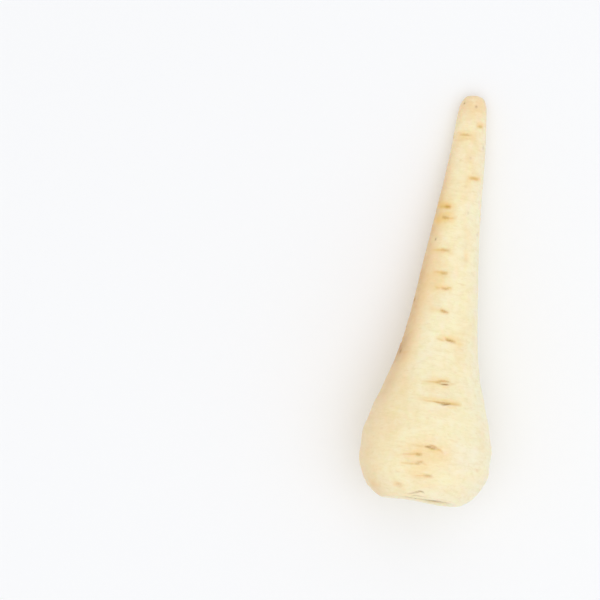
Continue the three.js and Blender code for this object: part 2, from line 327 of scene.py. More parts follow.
# %% Strokes on top
# Strength, half width, the share of the stroke's length where it is strongest, and then a distance from the
# crown and an angle, three times over: where the stroke starts, passes and ends
STROKES = {
    "stain": [
        [0.46, 1.3, 0.6, 167.7, 82, 168.4, 58, 169.2, 16], [0.25, 0.9, 0.5, 169.9, 66, 169.7, 54, 169.7, 37],
        [0.6, 1.9, 0.5, 162.6, 152, 162.5, 111, 162.6, 71],
        [0.69, 1.1, 0.5, 143.2, 90, 143.7, 66, 144.7, 26],
        [0.98, 1.6, 0.6, 131.6, 182, 130.4, 132, 130.2, 102],
        [0.57, 0.9, 0.5, 126.5, 154, 126.3, 120, 126.8, 96],
        [0.92, 2, 0.4, 124.3, 174, 123.8, 128, 124.3, 92],
        [0.63, 1.4, 0.55, 109.7, 152, 109.7, 120, 109.7, 88],
        [0.52, 1.2, 0.6, 99.2, 136, 99.2, 113, 99.4, 89], [0.57, 1.4, 0.5, 92.9, 124, 92.9, 102, 92.9, 80],
        [0.57, 1.3, 0.5, 82.5, 124, 82.5, 105, 82.1, 84], [0.69, 1.5, 0.6, 70.1, 104, 70.6, 85, 69.9, 60],
        [0.34, 0.9, 0.5, 68.4, 75, 68.6, 66, 69.2, 54], [0.52, 1.5, 0.6, 50.8, 102, 51.5, 88, 51.8, 72],
        [0.46, 0.5, 0.5, 48.5, 86, 48.5, 81, 48.9, 74], [0.69, 1.4, 0.6, 41.8, 109, 42.3, 88, 42.7, 59],
        [0.46, 0.6, 0.5, 39.7, 78, 39.9, 72, 40.5, 66], [0.46, 1, 0.5, 20, 94, 20, 87, 19.3, 78],
        [0.4, 0.9, 0.5, 18.5, 105, 18.8, 100, 18.9, 94],
    ],
    "tail": [
        [0.75, 0.85, 0.5, 167.4, 76, 167.5, 57, 167.9, 36],
        [0.35, 0.4, 0.6, 160.5, 124, 160.8, 106, 161.3, 81],
        [0.35, 0.6, 0.5, 160.6, 158, 160.3, 132, 160.8, 112],
        [0.7, 0.95, 0.4, 143.8, 84, 143.6, 66, 144.2, 36], [0.7, 0.7, 0.7, 130, 165, 129.5, 133, 129.5, 112],
        [0.5, 0.6, 0.4, 124.3, 120, 124.5, 107, 125.3, 92],
        [0.45, 0.45, 0.7, 109.9, 148, 109.7, 127, 109.7, 110],
        [0.45, 0.4, 0.8, 99.8, 134, 99.8, 122, 99.4, 107], [0.5, 0.5, 0.5, 92.7, 119, 92.5, 113, 92.5, 106],
        [0.6, 0.3, 0.3, 92.9, 96, 93.1, 90, 93.6, 84], [0.5, 0.3, 0.3, 92.3, 96, 92.3, 90, 92.5, 84],
        [0.75, 0.38, 0.6, 69.9, 100, 69.5, 94, 69.2, 86], [0.65, 0.6, 0.85, 50.1, 110, 50.1, 98, 50.5, 84],
        [0.4, 0.5, 0.4, 49.9, 76, 50.4, 72, 50.5, 66], [0.65, 0.45, 0.85, 41.7, 106, 41.4, 96, 41.6, 83],
        [0.8, 0.75, 0.2, 41.3, 76, 41.6, 69, 42, 58], [0.4, 0.7, 0.8, 21.5, 109, 21.4, 102, 21.4, 94],
        [0.7, 0.65, 0.3, 21.1, 84, 20.7, 80, 19.3, 76], [0.55, 0.45, 0.8, 16.9, 116, 17.3, 108, 17.9, 98],
        [0.55, 0.45, 0.6, 13.4, 115, 13.4, 108, 13.5, 98], [0.35, 0.4, 0.4, 13.9, 95, 13.8, 92, 13.5, 88],
        [0.62, 0.22, 0.6, 8.7, 100, 8.9, 95, 9.2, 90], [0.4, 0.22, 0.5, 7.9, 100, 8.1, 96, 8.3, 90],
    ],
    "core": [
        [0.3, 0.5, 0.5, 167.3, 66, 167.4, 57, 168, 44], [0.59, 0.44, 0.5, 162.9, 136, 162.9, 108, 162.9, 82],
        [0.3, 0.55, 0.4, 143.8, 76, 143.6, 66, 144.2, 44],
        [0.8, 0.55, 0.5, 129.7, 137, 129.7, 126, 129.5, 114],
        [0.82, 0.66, 0.5, 124.8, 137, 124.5, 124, 124.3, 113],
        [0.55, 0.66, 0.45, 109.7, 122, 109.7, 110, 109.7, 96],
        [0.65, 0.72, 0.55, 99.2, 113, 99.2, 104, 99.4, 96], [0.81, 0.55, 0.6, 92.5, 107, 92.3, 98, 92.7, 91],
        [1, 0.61, 0.35, 82.7, 102, 82.3, 96, 81.9, 84], [1, 0.68, 0.35, 70.1, 87, 69.7, 80, 69.5, 68],
        [0.81, 0.5, 0.5, 50.1, 92, 51.1, 83, 50.8, 72], [0.98, 0.4, 0.5, 41.4, 90, 41.4, 82, 42.1, 74],
        [0.81, 0.44, 0.4, 22.2, 90, 21.9, 86, 21.3, 82], [0.94, 0.55, 0.6, 21, 91, 20.9, 87, 21.3, 83],
        [0.81, 0.66, 0.4, 17.7, 101, 17.7, 98, 17.9, 94], [0.65, 0.55, 0.5, 14, 100, 14.5, 96, 14.6, 92],
        [0.55, 0.46, 0.5, 13.5, 101, 13.6, 98, 13.9, 94], [0.62, 0.83, 0.5, 9.1, 92, 9.3, 88, 9.3, 82],
        [0.7, 0.45, 0.6, 49.4, 88, 49.7, 81, 50.2, 74], [0.75, 0.55, 0.65, 40.8, 86, 41, 78, 41.8, 72],
        [0.45, 0.5, 0.6, 21.2, 95, 21.4, 91, 21.6, 87], [0.3, 1.5, 0.5, 4.6, 121.5, 4.5, 117, 4.5, 112.5],
    ],
    "crease": [
        [0.3, 1.2, 0.5, 158.6, 43, 158.6, 35, 158.6, 25], [0.8, 0.41, 0.7, 1.1, 109, 1.7, 101, 2.7, 92],
        [0.96, 0.38, 0.5, 2.2, 96, 2.7, 92, 2.1, 87], [0.5, 0.32, 0.45, 0.1, 107, 0.8, 99, 0.95, 92],
        [0.35, 0.32, 0.3, 0.9, 96, 0.85, 90, 0.8, 84],
    ],
    "dark": [
        [0.88, 0.3, 0.6, 49.3, 86, 49.6, 81, 50.1, 76], [0.82, 0.38, 0.65, 40.6, 84, 40.7, 78, 41.7, 73],
        [0.66, 0.33, 0.6, 21.2, 94, 21.4, 91, 21.6, 88],
    ],
}
print({kind: len(rows) for kind, rows in STROKES.items()})


# %% The mask of one stroke
def stroke(half_width, strongest, *ends):
    """Mask of one stroke, from 0 to 1: a bell curve across a parabola through its three places, which grows
    from its start to its strongest share and shrinks to its end."""
    first, middle, last = ends[0:2], ends[2:4], ends[4:6]
    across, upright = offsets(*middle, 0)
    (start, start_rise), (end, end_rise) = (
        (math.radians(middle[1] - place[1]) * skin_radius(middle[0]),
         skin_travel(place[0]) - skin_travel(middle[0])) for place in (first, last))
    bend = (end_rise / end - start_rise / start) / (end - start)
    line = (start_rise / start - bend * start) * across + bend * across ** 2
    share = (across - start) / (end - start)
    grown = np.clip(np.minimum(share / strongest, (1 - share) / (1 - strongest)), 0, 1)
    return grown * (2 - grown) * bump(upright + 0.5 * wobble, line, half_width) * on_skin


print("the first stain peaks at", stroke(*STROKES["stain"][0][1:]).max().round(2))


# %% Strokes of the other ranks
def hidden_strokes(place, degrees, length, height, tilt):
    """Strokes of a scar by rule: a stain, a tail and a core, and for a tall scar a crack below the core."""
    seed = int(10 * place + degrees)
    darkness, side = 0.45 + 0.4 * draw(seed), 0.3 * (draw(seed + 1) - 0.5) * length
    fall = math.tan(math.radians(tilt))

    def places(middle, half, rise):
        """Start, middle and end of a line with the scar's tilt, whose ends bend a little to the crown."""
        return [number for share in (-1, 0, 1) for number in (
            place + rise - (middle + share * half) * fall - 0.02 * (share * half) ** 2,
            degrees - math.degrees((middle + share * half) / skin_radius(place)))]

    drawn = [["stain", 0.6 * darkness + 0.2, 0.7 * height, 0.5, *places(0, 0.55 * length, 0)],
             ["tail", 0.9 * darkness, 0.25 + 0.1 * height, 0.5, *places(0, 0.5 * length, 0)],
             ["core", darkness, 0.15 + 0.18 * height, 0.5, *places(side, 0.24 * length, 0)]]
    if height > 2:
        drawn.append(["dark", darkness, 0.28, 0.6, *places(side, 0.2 * length, -0.3 * height)])
    return drawn


CRACK_DEPTH = 0.10
stained = {kind: np.zeros_like(along) for kind in STROKES}
all_strokes = [(kind, *row) for kind, rows in STROKES.items() for row in rows]
all_strokes += [row for scar in hidden_scars for row in hidden_strokes(*scar)]
for kind, strength, *shape in all_strokes:
    stained[kind] = 1 - (1 - stained[kind]) * (1 - strength * stroke(*shape))
relief -= CRACK_DEPTH * stained["dark"]
print(len(all_strokes), "strokes in all")

# %% [markdown]
# ## Creases, wrinkles and small marks
#
# Near the crown the skin wrinkles where it turns over the rim, and a few short arcs are pressed into it.
# Along the top of the rim it has split, and the dark line of the split is also painted shade of the gap under
# the rim. The lower wall of the hollow is painted brown as the shade under the overhanging rim. Small dark
# dots are the stumps of hair-thin rootlets. Broad amber patches are bruises and the first signs of age, and
# those on the left side, at about 120 to 155 degrees, are partly painted shade of that side. The broken end
# of the tail root is a small rough spot at the tip. Small tables are easier to change than a painted image,
# and become masks: a number for each point, which the material turns into colour.

# %% Creases and wrinkles near the crown
for place, degrees, length, height, tilt in CROWN_CREASES:
    across, upright = offsets(place, degrees, tilt)
    upright = upright + 0.03 * across ** 2 + wobble
    fade = lens(across, length) * (outward_travel > 0)
    width = 0.4 if 60 < degrees < 120 else 0.8
    relief += -0.20 * height * fade * bump(upright, 0, width) + 0.10 * fade * bump(upright, 2 * width, 0.5)

puckers = 0.10 * ring_noise(along * 0.4, angle, 3.0, 46, 41) * bump(outward_travel, 1.5, 4.0)
shoulder_wrinkles = (0.09 * ring_noise(outward_travel + drift, angle, 1.7, 24, 42)
                     * bump(outward_travel, 7.0, 9.0))
print(f"puckers up to {puckers.max():.2f} mm and wrinkles up to {shoulder_wrinkles.max():.2f} mm high")

# %% The split along the rim, with painted shade of the gap under it, and the painted shade on the lower
# wall of the hollow: angle in degrees and strength
RIM_SPLIT_AND_SHADE = np.array([
    [32, 0.0], [42, 0.35], [53, 0.55], [62, 0.85], [69, 1.0], [74, 0.75], [79, 0.45], [86, 0.35],
    [98, 0.3], [106, 0.6], [112, 0.75], [119, 0.5], [126, 0.0], [190, 0.0], [215, 0.12], [240, 0.0],
])
WALL_SHADE = np.array([
    [238, 0.0], [254, 0.4], [284, 0.4], [293, 0.7], [300, 1.0], [306, 1.0], [312, 0.7], [322, 0.35],
    [333, 0.0],
])
SPLIT_DEPTH = 0.12
# A dark line on the rim's crest: a split, pressed in, and painted shade of the gap under the rim
rim_split_and_shade = (bump(outward_travel + 0.2 * wobble, 0.35, 0.36)
            * np.interp(np.degrees(angle), RIM_SPLIT_AND_SHADE[:, 0], RIM_SPLIT_AND_SHADE[:, 1]))
relief -= SPLIT_DEPTH * rim_split_and_shade
# Painted shade on the lower wall of the hollow, just under the overhanging rim
wall_shade = ((1 - smooth_step(outward_travel + wobble, -3.5, -2.7))
              * np.interp(np.degrees(angle), WALL_SHADE[:, 0], WALL_SHADE[:, 1]))
print(f"the split runs over {(rim_split_and_shade > 0.2).any(axis=0).mean():.0%} of the rim")

# %% Rootlet stumps and specks: distance from the crown, angle, width and strength
SPECKS = [
    [19, 330, 1.4, 0.7], [33, 205, 1.2, 0.8], [57, 320, 1.2, 0.8], [63.7, 162, 1.8, 0.7],
    [78.8, 35, 0.8, 0.2], [87.4, 170, 1.8, 0.7], [98, 300, 1.0, 0.6], [114.6, 140, 0.9, 1.0],
    [119.3, 30, 1.3, 0.3], [127.7, 68, 0.9, 0.25], [128, 340, 0.9, 0.6], [140, 230, 0.9, 0.7],
    [150, 300, 0.9, 0.7], [152.5, 82, 1.1, 0.22], [176.2, 80, 1.1, 0.55], [177.5, 138, 0.9, 0.75],
]
STUMP_HEIGHT = 0.15
speck = np.zeros_like(along)
for place, degrees, width, strength in SPECKS:
    speck = np.maximum(speck, strength * bump(np.hypot(*offsets(place, degrees, 0)), 0, 0.5 * width)
                       * (outward_travel > 0))
relief += STUMP_HEIGHT * speck
print(len(SPECKS), "specks")

# %% Patches: distance from the crown, angle, half length along, half width across and strength
# On the left side, at about 120 to 155 degrees, the amber patches are partly painted shade of that side
AMBER = [
    [3, 110, 4, 7, 0.25], [4.1, 153, 2.0, 3.6, 0.75], [4.5, 117, 2.4, 3.0, 0.55], [5, 88, 3, 7, 0.3],
    [11, 97, 4.5, 6, 0.62], [14, 200, 6, 6, 0.6], [18, 92, 7, 13, 0.70], [30, 34, 10, 3, 0.25],
    [30, 125, 12, 7, 0.35], [37.8, 83, 2.5, 4, 0.3], [38, 315, 7, 5, 0.5], [46, 125, 6, 5, 0.35],
    [47, 88, 3, 6, 0.35], [60, 250, 6, 4, 0.5], [63, 152, 0.8, 6.0, 0.7], [68, 60, 9, 4, 0.35],
    [76, 36, 6, 4, 0.3], [96, 225, 7, 4, 0.5], [97, 120, 12, 6, 0.60], [108.2, 64, 5, 1.4, 0.45],
    [118, 66, 5, 2, 0.3], [127.5, 126, 6, 5, 0.40], [134, 285, 6, 4, 0.5], [140, 80, 8, 3, 0.35],
    [151, 85, 5, 2.5, 0.35], [160.3, 122, 5, 4, 0.25], [162, 75, 4, 2.5, 0.35], [175.3, 107, 6, 9, 0.4],
]
PALE = [
    [3, 75, 5, 14, 0.6], [3, 136, 4, 6, 0.65], [19, 50, 8, 13, 0.9], [20, 74, 5, 8, 0.4],
    [22.5, 50, 3.5, 15, 1.0], [24, 245, 10, 9, 0.6], [44, 80, 10, 7, 0.5], [46, 97, 4, 4, 0.35],
    [57, 118, 4, 3, 0.25], [60, 33, 14, 4, 0.7], [64, 103, 9, 3.5, 0.35], [65, 92, 4, 4, 0.4],
    [75, 300, 12, 6, 0.6], [88, 95, 6, 5, 0.3], [99.5, 82, 3, 4, 0.3], [110, 205, 14, 5, 0.5],
    [127, 65, 16, 4.5, 0.6],
]


def patches(rows):
    """Mask of the strongest patch at each point: a bell curve across times a bell curve along."""
    found = np.zeros_like(along)
    for place, degrees, tall, wide, strength in rows:
        across, upright = offsets(place, degrees, 0)
        found = np.maximum(
            found, strength * bump(across, 0, wide) * bump(upright, 0, tall) * (outward_travel > 0))
    return found


patch, pale = patches(AMBER), patches(PALE)
print(len(AMBER), "amber patches and", len(PALE), "pale ones")

# %% Flanks and tip
# The left flank, turned from the light, is painted amber as shade, browner in its middle, with spots where it
# is darker still. Each spot is a distance from the crown, half its length, an angle in radians, half its
# spread and a strength.
FLANK_DARK_SPOTS = [[66, 7, 2.95, 0.34, 1.5], [48, 8, 2.75, 0.3, 0.60], [84, 22, 2.9, 0.4, 0.30]]
# The right flank is painted paler as the lit side, and the underside on that side paler so that it throws
# less warm light onto the table: angle in radians, strength, and the cosines where it starts and is full
LIT_AND_PALE_SIDES = [[0.1, 0.55, 0.5, 0.95], [-1.15, 1.0, 0.35, 0.85]]
cloudy = np.clip(0.82 + 0.22 * creases + 0.22 * swells, 0, 1)
flank_shade_along = (cloudy * (0.45 + 0.55 * smooth_step(along, 44, 66)) * (1 - 0.8 * smooth_step(along, 125, 170))
               * (outward_travel > 0))
# Painted shade on the left flank, and a browner painted shade in its middle
flank = flank_shade_along * smooth_step(angle, 1.87, 2.75) * (1 - smooth_step(angle, 3.6, 4.5))
flank_shade_middle = flank_shade_along * (
    smooth_step(angle, 2.25, 2.95) * (1 - smooth_step(angle, 3.3, 4.0)) + 0.3 * bump(angle, 3.1, 0.3))
for place, tall, toward, wide, strength in FLANK_DARK_SPOTS:
    flank_shade_middle += strength * bump(along, place, tall) * bump(angle, toward, wide)
for toward, strength, start, full in LIT_AND_PALE_SIDES:
    sideward = smooth_step(np.cos(angle - toward), start, full)
    pale = np.maximum(pale, strength * sideward * (outward_travel > 0))
pale = np.maximum(pale, 0.9 * bump(outward_travel, -1.5, 1.5))

# The tip is pinker, and ends in the rough stump of the tail root
tip_zone = np.maximum(smooth_step(along, 164, 181), 0.38 * bump(along, 155, 11))
tail_end = bump(radius, 0, 2.2) * (along > 100)
relief += 0.25 * tail_end * ring_noise(along, angle, 1.5, 12, 51)
print(f"amber flank on {(flank > 0.3).mean():.0%} of the points")

# %% [markdown]
# ## From outline to points
#
# The radius gets the unevenness, the growth creases, the scars and the puckers. The midline bends very
# slightly sideways, and the whole root leans, because it lies on its thick shoulder and on its thin tip. The
# object could be turned instead, but with the lean in the formula it stays unturned at the origin. What
# would sink into the table is pressed flat.

# %% The root as it lies
MM_PER_METRE = 1000
LEAN = math.radians(8.3)
# Bends of the midline: reach to the side, middle and width of each bell curve
BENDS = [[2.4, 158, 42], [1.0, 88, 30], [0.8, 186, 9]]


def lying(along, radius, angle):
    """Point of the lying root: a circle round the midline, which is bent sideways by bell curves and turned
    down by the lean, with a part of the rim set back."""
    sideways = sum(reach * bump(along, middle, width) for reach, middle, width in BENDS)
    reach = along + set_back(along, radius, angle)
    height = radius * np.sin(angle)
    return np.stack([
        sideways + radius * np.cos(angle),
        reach * math.cos(LEAN) + height * math.sin(LEAN),
        height * math.cos(LEAN) - reach * math.sin(LEAN),
    ], axis=-1)


even_points = lying(along, radius * (1 + uneven), angle)
low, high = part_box("parsnip_root")
shift = np.array([
    (low.x + high.x) / 2 * MM_PER_METRE - (even_points[..., 0].min() + even_points[..., 0].max()) / 2,
    (low.y + high.y) / 2 * MM_PER_METRE - (even_points[..., 1].min() + even_points[..., 1].max()) / 2,
    high.z * MM_PER_METRE - even_points[..., 2].max(),
])


def settled(points):
    """Points in metres, set where the solid lies and never below the table."""
    placed = points + shift
    placed[..., 2] = np.maximum(placed[..., 2], 0)
    return placed / MM_PER_METRE


def on_midline(along):
    """Point of the midline at a distance from the crown, in metres."""
    return settled(lying(np.array([along]), np.zeros(1), np.zeros(1)))


print("the even root is moved by", shift.round(2), "mm to lie on the solid")

# %% Points of the skin
crease_height = (0.032 + 0.03 * bump(along, 6, 30)) * smooth_step(outward_travel, -3, 3)
skin_relief = (relief + crease_height * creases + 0.16 * swells * smooth_step(outward_travel, -2, 8)
               + puckers + shoulder_wrinkles)

# Relief stands along the outline's own normal, so that it stays upright on the round of the shoulder
slope = np.stack([np.gradient(row_along, row_travel), np.gradient(row_radius, row_travel)], axis=1)
normal_along, normal_radius = -slope[:, 1:2], slope[:, 0:1]
full_along = along + normal_along * skin_relief * smooth_step(outward_travel, -3, 1)
full_radius = radius * (1 + uneven) + normal_radius * skin_relief
skin_points = settled(lying(full_along, full_radius, angle))
print("skin reaches from", skin_points.min((0, 1)).round(4), "to", skin_points.max((0, 1)).round(4))

# %% [markdown]
# ## From points to a mesh
#
# Rings of points with a pole at each end make a closed skin: four-sided faces between the rings, and a fan
# of triangles at each pole. Faces could be added one by one, but whole arrays go into the mesh with
# foreach_set, which is far quicker.


# %% Faces between rings
def ring_faces(ring_count, column_count):
    """Corners and numbers of sides of the faces of a closed skin, and a map for baking that gives each column
    and each ring an equal share of the square. Point 0 is the first pole, then come the rings."""
    ring, column = np.meshgrid(np.arange(ring_count - 1), np.arange(column_count), indexing="ij")
    after = (column + 1) % column_count
    near, far = 1 + ring * column_count, 1 + (ring + 1) * column_count
    quads = np.stack([near + column, far + column, far + after, near + after], axis=-1).reshape(-1, 4)
    spoke = np.arange(column_count)
    follow, none = (spoke + 1) % column_count, np.zeros_like(spoke)
    last_ring = 1 + (ring_count - 1) * column_count
    last_pole = last_ring + column_count
    first_fan = np.stack([none, 1 + spoke, 1 + follow], axis=-1)
    last_fan = np.stack([none + last_pole, last_ring + follow, last_ring + spoke], axis=-1)
    corners = np.concatenate([quads.ravel(), first_fan.ravel(), last_fan.ravel()])
    sides = np.concatenate([np.full(len(quads), 4), np.full(2 * column_count, 3)])
    places = np.concatenate([
        (np.stack([over, down], axis=-1)[..., None, :] + moves).reshape(-1, 2) for over, down, moves in (
            (column, ring, [[0, 1], [0, 2], [1, 2], [1, 1]]),
            (spoke, none, [[0.5, 0], [0, 1], [1, 1]]),
            (spoke, none + ring_count, [[0.5, 1], [1, 0], [0, 0]]))])
    return corners, sides, places / [column_count, ring_count + 1]


print("two rings of four points give", len(ring_faces(2, 4)[1]), "faces")


# %% A closed mesh from rings
def closed_rings(name, rings, first_pole, last_pole, fields):
    """Closed mesh from rings of points, whose columns run so that faces point outwards. Fields are named
    numbers for each point, kept as attributes, and a pole takes the mean of the ring beside it."""
    points = np.concatenate([first_pole.reshape(1, 3), rings.reshape(-1, 3), last_pole.reshape(1, 3)])
    corners, sides, places = ring_faces(*rings.shape[:2])
    mesh = bpy.data.meshes.new(name)
    mesh.vertices.add(len(points))
    mesh.vertices.foreach_set("co", points.astype(np.float32).ravel())
    mesh.loops.add(len(corners))
    mesh.loops.foreach_set("vertex_index", corners.astype(np.int32))
    mesh.polygons.add(len(sides))
    mesh.polygons.foreach_set("loop_start", (np.cumsum(sides) - sides).astype(np.int32))
    mesh.uv_layers.new(name="OFBake").uv.foreach_set("vector", places.astype(np.float32).ravel())
    for field, values in fields.items():
        full = np.concatenate([[values[0].mean()], values.ravel(), [values[-1].mean()]])
        mesh.attributes.new(field, "FLOAT", "POINT").data.foreach_set("value", full.astype(np.float32))
    mesh.validate()
    mesh.update()
    mesh.shade_smooth()
    piece = bpy.data.objects.new(name, mesh)
    bpy.context.scene.collection.objects.link(piece)
    print(name, "has", len(mesh.polygons), "faces")
    return piece


# %% The skin
# Deep in the hollow of the crown, beyond an uneven edge, the skin is painted dark as shade
HOLLOW_EDGE = -5.7
edge_break = 0.5 * ring_noise(along * 0.2, angle, 3.0, 24, 71)
hollow = 1 - smooth_step(outward_travel + edge_break, HOLLOW_EDGE - 0.4, HOLLOW_EDGE + 0.2)
rim_stain = (bump(outward_travel, -3.0, 2.0) * (1 - bump(angle, 4.7, 1.8))
             * smooth_step(ring_noise(along * 0.5, angle, 2.5, 15, 72) + 0.5 * creases, 0.0, 0.6))
skin_fields = {
    **stained, "speck": speck, "patch": patch, "pale": pale, "hollow": hollow, "rim_stain": rim_stain,
    "rim_split_and_shade": rim_split_and_shade, "wall_shade": wall_shade, "flank": flank, "flank_shade_middle": flank_shade_middle,
    "tip_zone": tip_zone, "tail_end": tail_end, "wrinkle": creases,
}
crown_pole, tip_pole = on_midline(OUTLINE[0, 0]), on_midline(OUTLINE[-1, 0])
skin = closed_rings("parsnip_skin", skin_points, crown_pole, tip_pole, skin_fields)
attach(skin, "root")
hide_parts("parsnip_root")

# %% [markdown]
# ## The leaf scar
#
# The leaves stood in the sunken middle of the crown. After trimming, their bases dry to a rough brown pad:
# short curved ridges in a spiral, fine fibres, and a small amber bud in the middle. It could be a dark patch
# of the skin, but a disc with its own relief, sunk a little into the hollow, meets the skin in a crisp
# uneven line, as the real pad does.

# %% Grid of the leaf scar, with its under side
PAD_RADIUS, PAD_ROWS, PAD_UNDER_ROWS, PAD_COLUMNS = 11.6, 90, 12, 260
pad_share = np.concatenate([
    np.linspace(0, 1, PAD_ROWS + 1)[1:], np.linspace(1, 0, PAD_UNDER_ROWS + 2)[1:-1]])
pad_top = np.concatenate([np.ones(PAD_ROWS), np.zeros(PAD_UNDER_ROWS)])
pad_radius, pad_angle = np.meshgrid(
    PAD_RADIUS * pad_share, np.linspace(0, 2 * np.pi, PAD_COLUMNS, endpoint=False), indexing="ij")
print(f"{pad_radius.size} points on the leaf scar")

# %% Leaf bases and their lips
LEAF_BASES, LEAF_BASE_RING, LEAF_BASE_WIDTH = 7, 8.2, 3.2
# Each lip is turned from the one before by the golden angle, in radians
LIPS, GOLDEN_ANGLE = 22, 2.39996
FIRST_LIP, LIP_STEP, LIP_THICKNESS = 2.4, 0.36, 0.32
stubs = np.cos(LEAF_BASES * pad_angle + 1.3 * pad_radius) * bump(pad_radius, LEAF_BASE_RING, LEAF_BASE_WIDTH)
lips = np.zeros_like(pad_radius)
for leaf in range(LIPS):
    turn = (pad_angle - leaf * GOLDEN_ANGLE + np.pi) % (2 * np.pi) - np.pi
    curve = FIRST_LIP + LIP_STEP * leaf + 0.4 * np.cos(2 * turn) - 0.3 * turn ** 2
    strength = 0.4 + 0.6 * draw(leaf)
    lips = np.maximum(lips, strength * bump(pad_radius, curve, LIP_THICKNESS) * bump(turn, 0, 0.75))
print(f"{LEAF_BASES} leaf bases and {LIPS} lips, on {(lips > 0.2).mean():.0%} of the pad")

# %% Lumps, fibres and the bud
lumps = (0.6 * ring_noise(pad_radius, pad_angle, 2.1, 11, 61)
         + 0.4 * ring_noise(pad_radius, pad_angle, 1.1, 23, 64))
fibres = ring_noise(pad_radius + 1.2 * lumps, pad_angle, 0.55, 26, 62) * smooth_step(pad_radius, 1.0, 3.5)
strands = (smooth_step(ring_noise(pad_radius + 0.8 * lumps, pad_angle, 2.4, 130, 65), 0.1, 0.6)
           * smooth_step(np.cos(pad_angle - 3.1), 0.3, 0.9) * smooth_step(pad_radius, 4.5, 8))
BUD_RADIUS, BUD_FROM_MIDDLE, BUD_DIRECTION = 1.5, 2.2, 0.5
bud = bump(np.hypot(
    pad_radius * np.cos(pad_angle) - BUD_FROM_MIDDLE * math.cos(BUD_DIRECTION),
    pad_radius * np.sin(pad_angle) - BUD_FROM_MIDDLE * math.sin(BUD_DIRECTION)), 0, BUD_RADIUS)
print(f"fibres from {fibres.min():.2f} to {fibres.max():.2f}")

# %% Points of the leaf scar
# Distance from its middle, and depth in the hollow
PAD_FLOOR = np.array([[0, 1.9], [3, 1.9], [6, 2.3], [8.5, 2.8], [9.8, 3.1], [10.6, 4.1], [11.8, 5.2]])
PAD_SINK = 1.6
ragged = 0.7 * ring_noise(pad_radius * 0, pad_angle, 3.0, 21, 63)
floor_depth = np.interp(pad_radius + ragged, PAD_FLOOR[:, 0], PAD_FLOOR[:, 1])
pad_depth = (floor_depth - 0.4 * stubs - 0.5 * lips - 0.45 * lumps * smooth_step(pad_radius, 1, 4)
             - 0.13 * fibres - 0.25 * strands - 0.4 * bud)
pad_depth = np.where(pad_top[:, None] > 0, pad_depth, floor_depth + PAD_SINK)
pad_points = settled(lying(pad_depth, pad_radius * (1 + unevenness(pad_depth, pad_angle)), pad_angle))
pad_poles = on_midline(pad_depth[0].mean()), on_midline(PAD_FLOOR[0, 1] + PAD_SINK)
pad_fields = {
    "lip": lips, "bud": bud, "fibre": fibres, "strand": strands, "lump": lumps + 0.5 * stubs,
    "edge": smooth_step(pad_radius + ragged, 9.6, 10.6),
}
leaf_scar = closed_rings("leaf_scar", pad_points, *pad_poles, pad_fields)
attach(leaf_scar, "root")

# %% [markdown]
# ## Colours and nodes
#
# Screens use sRGB numbers, and Blender's shaders use linear light, so each colour is written as a hex value
# and turned once. Nodes could be laid out by hand, but lists are easier to read. One small function adds any
# node, with its settings and its links, and two more read tables: of patterns, and of colours that lie over
# each other.


# %% Colours
def linear(code):
    """Linear colour from an sRGB hex value: up to 0.04045 divided by 12.92, and a power of 2.4 above."""
    values = np.array([int(code[start:start + 2], 16) for start in (1, 3, 5)]) / 255
    values = np.where(values <= 0.04045, values / 12.92, ((values + 0.055) / 1.055) ** 2.4)
    return (*values.tolist(), 1.0)


SKIN_BASE, PAD_BASE, TABLE_BASE = linear("#fdf0cb"), linear("#8a6d68"), linear("#f9fafc")
print("skin base in linear light", np.round(SKIN_BASE, 3))


# %% Nodes
def add(tree, kind, inputs=None, **settings):
    """Adds one node. Settings are its properties, and inputs gives sockets a value or a socket to link."""
    node = tree.nodes.new(kind)
    for name, value in settings.items():
        setattr(node, name, value)
    for socket, value in (inputs or {}).items():
        if isinstance(value, bpy.types.NodeSocket):
            tree.links.new(value, node.inputs[socket])
        else:
            node.inputs[socket].default_value = value
    return node


# Numbers of a Mix node's sockets
FACTOR, FLOAT_A, FLOAT_B, COLOUR_A, COLOUR_B, MIXED_COLOUR = 0, 2, 3, 6, 7, 2


def new_material(name):
    """An empty node material with its output node."""
    material = bpy.data.materials.new(name)
    material.use_nodes = True
    material.node_tree.nodes.clear()
    return material, material.node_tree, add(material.node_tree, "ShaderNodeOutputMaterial")


def patterned(tree, rows):
    """Noises from 0 to 1 by name, from rows of a place socket, cells in a metre along each axis, detail and
    roughness."""
    noise = {}
    for name, (place, cells, detail, roughness) in rows.items():
        stretched = add(tree, "ShaderNodeMapping", {"Vector": place, "Scale": cells})
        noise[name] = add(tree, "ShaderNodeTexNoise", {
            "Vector": stretched.outputs[0], "Scale": 1.0, "Detail": detail,
            "Roughness": roughness}).outputs[0]
    return noise


def painted(tree, layers, colour):
    """Colours laid over each other, from rows of a mask socket, the values at which the layer starts and is
    full, its full strength, and a hex colour."""
    for mask, start, full, strength, code in layers:
        amount = add(tree, "ShaderNodeMapRange", {
            "Value": mask, "From Min": start, "From Max": full, "To Max": strength})
        colour = add(tree, "ShaderNodeMix", {
            FACTOR: amount.outputs[0], COLOUR_A: colour, COLOUR_B: linear(code)},
            data_type="RGBA").outputs[MIXED_COLOUR]
    return colour


print("colours are mixed from sockets", COLOUR_A, "and", COLOUR_B)


# %% [markdown]
# ### Washed parsnip skin
#
# Washed parsnip skin is a thin, moist, slightly waxy layer over white flesh. Light goes in and comes out
# again a few millimetres away, which gives the eye a soft creamy glow and hides hard shadows. A plain colour
# would look like chalk, so the material uses subsurface scattering, with red going furthest. Its gloss is a
# weak satin: roughness about 0.5, and the IOR of wet plant tissue, 1.40. The colour drifts between ivory and
# straw in soft clouds, in bands a few millimetres wide, and in thin pale and tan lines round the root. The
# lines are really 0.3 to 0.6 mm apart, and are drawn about 1 mm apart, so that they show.

